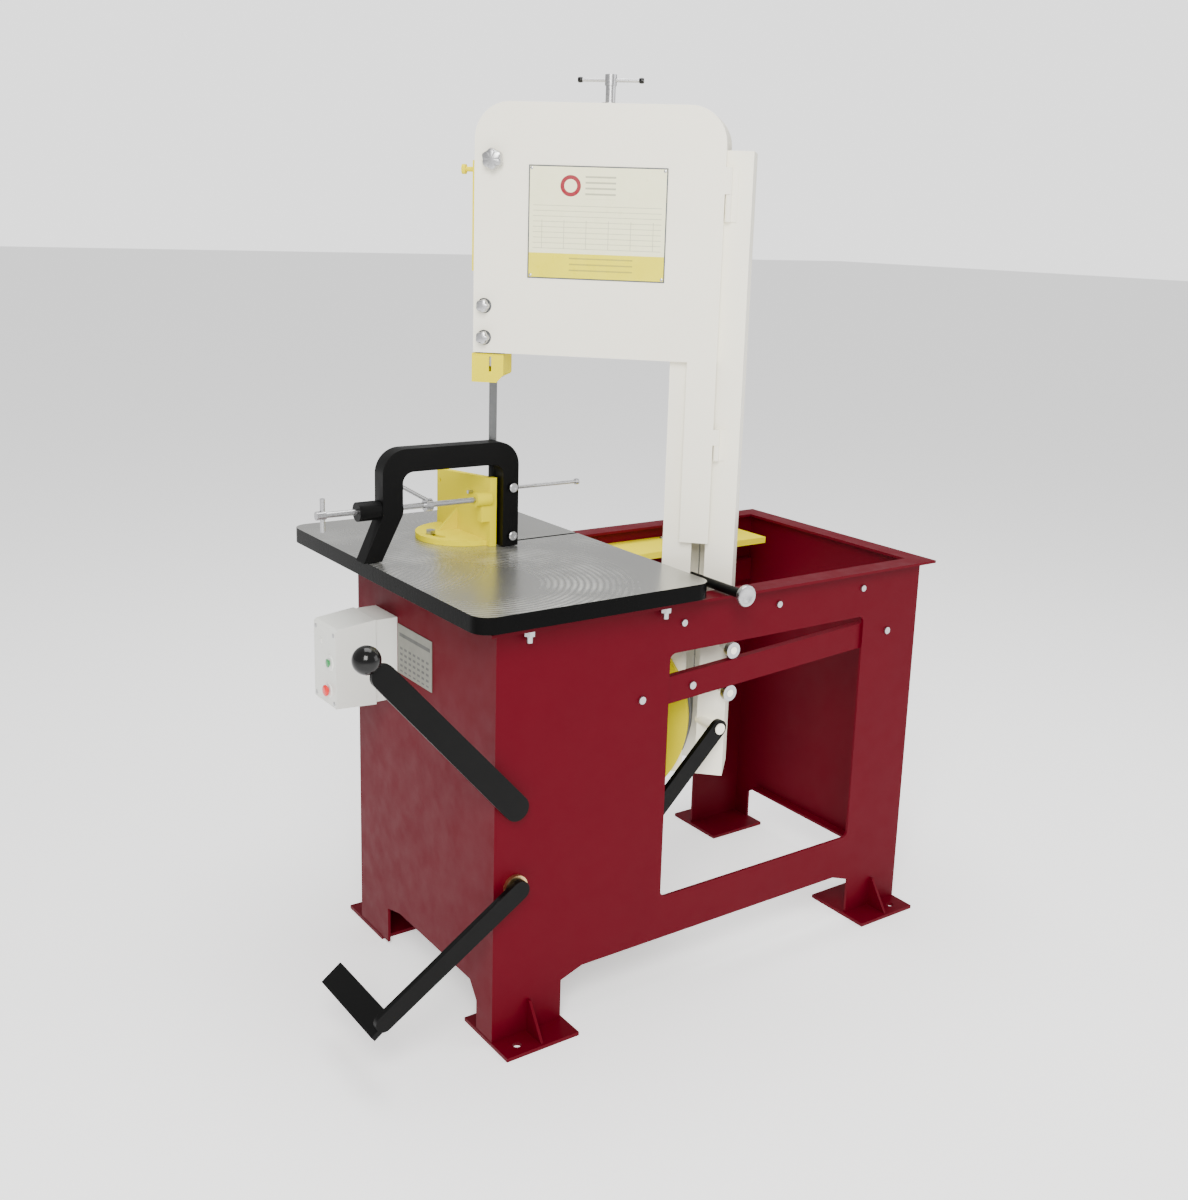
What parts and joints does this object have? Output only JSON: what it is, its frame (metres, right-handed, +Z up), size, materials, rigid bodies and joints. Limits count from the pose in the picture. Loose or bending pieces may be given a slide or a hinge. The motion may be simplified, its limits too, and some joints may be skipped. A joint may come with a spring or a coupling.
{
  "type": "roll-in vertical band saw",
  "caption": "Vertical band saw whose column head rolls on inclined rails past a fixed table with a swivel clamp vise, on a sheet steel base.",
  "frame": {"origin": "centre of the four foot anchor holes, on the floor", "axes": "+X to the machine's rear, along the way the head rolls; +Y across, away from the hand lever side; +Z up"},
  "size_m": [1.4535, 0.8855, 1.888],
  "materials": {
    "maroon_paint": "gloss",
    "cream_paint": "gloss",
    "yellow_paint": "gloss",
    "black_paint": "satin",
    "table_iron": "machined",
    "steel": "machined",
    "blade_steel": "rolled",
    "wheel_iron": "machined rim",
    "motor_paint": "satin",
    "black_plastic": "gloss",
    "grey_plastic": "fine texture",
    "stop_red": "gloss",
    "start_green": "gloss",
    "bronze": "machined",
    "plate": "satin",
    "label": "satin"
  },
  "bodies": {
    "base": {"near_side_plate": "maroon_paint", "far_side_plate": "maroon_paint", "front_panel": "maroon_paint", "rear_panel": "maroon_paint", "top_flange": "maroon_paint", "feet": "maroon_paint", "near_rail": "maroon_paint", "far_rail": "maroon_paint", "rail_guard": "yellow_paint", "table": "table_iron", "levelling_bolts": "steel", "panel_screws": "steel", "control_box": "grey_plastic", "control_lid": "grey_plastic", "data_plate": "plate", "shaft_bushes": "bronze", "vise_lock_bolt": "steel"},
    "head": {"column": "cream_paint", "wheel_box": "cream_paint", "bearing_plate": "cream_paint", "carriage_frame": "cream_paint", "door_hinges": "cream_paint", "post_bracket": "wheel_iron", "side_guard": "yellow_paint", "blade": "blade_steel", "lower_wheel_guard": "yellow_paint", "bearing_housing": "wheel_iron", "gearbox": "wheel_iron", "motor": "motor_paint", "push_bar": "black_paint", "push_bar_knob": "steel", "lower_guides": "steel"},
    "lever": {"hand_lever": "black_paint", "lever_knob": "black_plastic"},
    "pedal": {"foot_pedal": "black_paint"},
    "tie": {"tie_link": "black_paint"},
    "feed": {"feed_link": "black_paint"},
    "stop": {"stop_button": "stop_red"},
    "start": {"start_button": "start_green"},
    "vise": {"vise_jaw": "yellow_paint"},
    "arm": {"clamp_arm": "black_paint"},
    "screw": {"clamp_screw": "steel"},
    "collar": {"lock_collar": "steel"},
    "stoprod": {"work_stop": "steel"},
    "door": {"door": "cream_paint", "label_plate": "label"},
    "latch": {"latch_knob": "steel"},
    "guide": {"guide_post": "steel", "upper_guard": "yellow_paint", "upper_guides": "steel"},
    "pk_upper": {"post_knob_upper": "steel"},
    "pk_lower": {"post_knob_lower": "steel"},
    "tension": {"tension_block": "steel"},
    "tscrew": {"tension_screw": "steel"},
    "uwheel": {"upper_wheel": "wheel_iron"},
    "lwheel": {"lower_wheel": "wheel_iron"},
    "r_near_top": {"roller_near_top": "steel"},
    "r_near_bottom": {"roller_near_bottom": "steel"},
    "r_far_rear": {"roller_far_rear": "steel"},
    "r_far_front": {"roller_far_front": "steel"}
  },
  "joints": [
    {"name": "head_slide", "type": "slide", "parent": "base", "child": "head", "axis": [0.9981, 0, 0.061], "range_m": [0, 0.26]},
    {"name": "lever_turn", "type": "hinge", "parent": "base", "child": "lever", "pos_m": [-0.5295, -0.2975, 0.506], "axis": [0, 1, 0], "range_deg": [-31.55, 0]},
    {"name": "pedal_turn", "type": "hinge", "parent": "base", "child": "pedal", "pos_m": [-0.521, -0.2975, 0.334], "axis": [0, 1, 0], "range_deg": [-18.95, 0]},
    {"name": "tie_turn", "type": "hinge", "parent": "lever", "child": "tie", "pos_m": [-0.4695, -0.2425, 0.506], "axis": [0, 1, 0], "range_deg": [0, 30.4]},
    {"name": "feed_link_turn", "type": "hinge", "parent": "head", "child": "feed", "pos_m": [-0.008, -0.2795, 0.553], "axis": [0, 1, 0], "range_deg": [0, 10.55]},
    {"name": "stop_press", "type": "slide", "parent": "base", "child": "stop", "axis": [1, 0, 0], "range_m": [0, 0.004], "stiffness_N_per_m": 600, "springref_m": -0.004},
    {"name": "start_press", "type": "slide", "parent": "base", "child": "start", "axis": [1, 0, 0], "range_m": [0, 0.003], "stiffness_N_per_m": 600, "springref_m": -0.004},
    {"name": "vise_swivel", "type": "hinge", "parent": "base", "child": "vise", "pos_m": [-0.342, 0.2375, 0.91], "axis": [0, 0, 1], "range_deg": [-30, 0]},
    {"name": "clamp_slide", "type": "slide", "parent": "vise", "child": "arm", "axis": [1, 0, 0], "range_m": [0, 0.095]},
    {"name": "clamp_turn", "type": "hinge", "parent": "vise", "child": "screw", "pos_m": [-0.468, 0.1205, 1.01], "axis": [1, 0, 0], "range_deg": [0, 5700.05]},
    {"name": "collar_turn", "type": "hinge", "parent": "arm", "child": "collar", "pos_m": [-0.49, 0.1205, 1.01], "axis": [1, 0, 0], "range_deg": [0, 60]},
    {"name": "work_stop_slide", "type": "slide", "parent": "vise", "child": "stoprod", "axis": [1, 0, 0], "range_m": [-0.2, 0.03]},
    {"name": "door_swing", "type": "hinge", "parent": "head", "child": "door", "pos_m": [-0.0146, -0.23651, 1.5], "axis": [0, 0, 1], "range_deg": [0, 110]},
    {"name": "latch_turn", "type": "hinge", "parent": "door", "child": "latch", "pos_m": [-0.35684, 0.09159, 1.712], "axis": [-0.7071, -0.7071, 0], "range_deg": [-90, 0]},
    {"name": "guide_lift", "type": "slide", "parent": "head", "child": "guide", "axis": [0, 0, 1], "range_m": [-0.12, 0]},
    {"name": "post_knob_upper_turn", "type": "hinge", "parent": "head", "child": "pk_upper", "pos_m": [-0.36957, 0.10432, 1.421], "axis": [-0.7071, -0.7071, 0], "range_deg": [0, 90]},
    {"name": "post_knob_lower_turn", "type": "hinge", "parent": "head", "child": "pk_lower", "pos_m": [-0.36957, 0.10432, 1.356], "axis": [-0.7071, -0.7071, 0], "range_deg": [0, 90]},
    {"name": "tension_slide", "type": "slide", "parent": "head", "child": "tension", "axis": [0, 0, -1], "range_m": [0, 0.015]},
    {"name": "tension_turn", "type": "hinge", "parent": "head", "child": "tscrew", "pos_m": [-0.1358, 0.00631, 1.85], "axis": [0, 0, 1], "range_deg": [0, 2160.05]},
    {"name": "drive_turn", "type": "hinge", "parent": "head", "child": "lwheel", "pos_m": [-0.16126, -0.01914, 0.555], "axis": [-0.7071, -0.7071, 0], "continuous": true},
    {"name": "upper_wheel_turn", "type": "hinge", "parent": "tension", "child": "uwheel", "pos_m": [-0.16126, -0.01914, 1.576], "axis": [-0.7071, -0.7071, 0], "continuous": true},
    {"name": "near_top_roll", "type": "hinge", "parent": "head", "child": "r_near_top", "pos_m": [0.017, -0.2835, 0.72445], "axis": [0, 1, 0], "continuous": true},
    {"name": "near_bottom_roll", "type": "hinge", "parent": "head", "child": "r_near_bottom", "pos_m": [0.013, -0.2835, 0.63051], "axis": [0, 1, 0], "continuous": true},
    {"name": "far_rear_roll", "type": "hinge", "parent": "head", "child": "r_far_rear", "pos_m": [0.072, 0.2825, 0.72782], "axis": [0, 1, 0], "continuous": true},
    {"name": "far_front_roll", "type": "hinge", "parent": "head", "child": "r_far_front", "pos_m": [-0.223, 0.2825, 0.70977], "axis": [0, 1, 0], "continuous": true}
  ],
  "couplings": [
    {"joint": "lever_turn", "follows": "head_slide", "rad_per_m": -2.1145},
    {"joint": "pedal_turn", "follows": "head_slide", "rad_per_m": -1.2687},
    {"joint": "tie_turn", "follows": "head_slide", "rad_per_m": 2.0373},
    {"joint": "feed_link_turn", "follows": "head_slide", "rad_per_m": 0.70485},
    {"joint": "clamp_turn", "follows": "clamp_slide", "rad_per_m": 1047.2},
    {"joint": "tension_turn", "follows": "tension_slide", "rad_per_m": 2513.3},
    {"joint": "upper_wheel_turn", "follows": "drive_turn", "ratio": 1},
    {"joint": "near_top_roll", "follows": "head_slide", "rad_per_m": 57.143},
    {"joint": "near_bottom_roll", "follows": "head_slide", "rad_per_m": -57.143},
    {"joint": "far_rear_roll", "follows": "head_slide", "rad_per_m": 57.143},
    {"joint": "far_front_roll", "follows": "head_slide", "rad_per_m": 57.143}
  ]
}
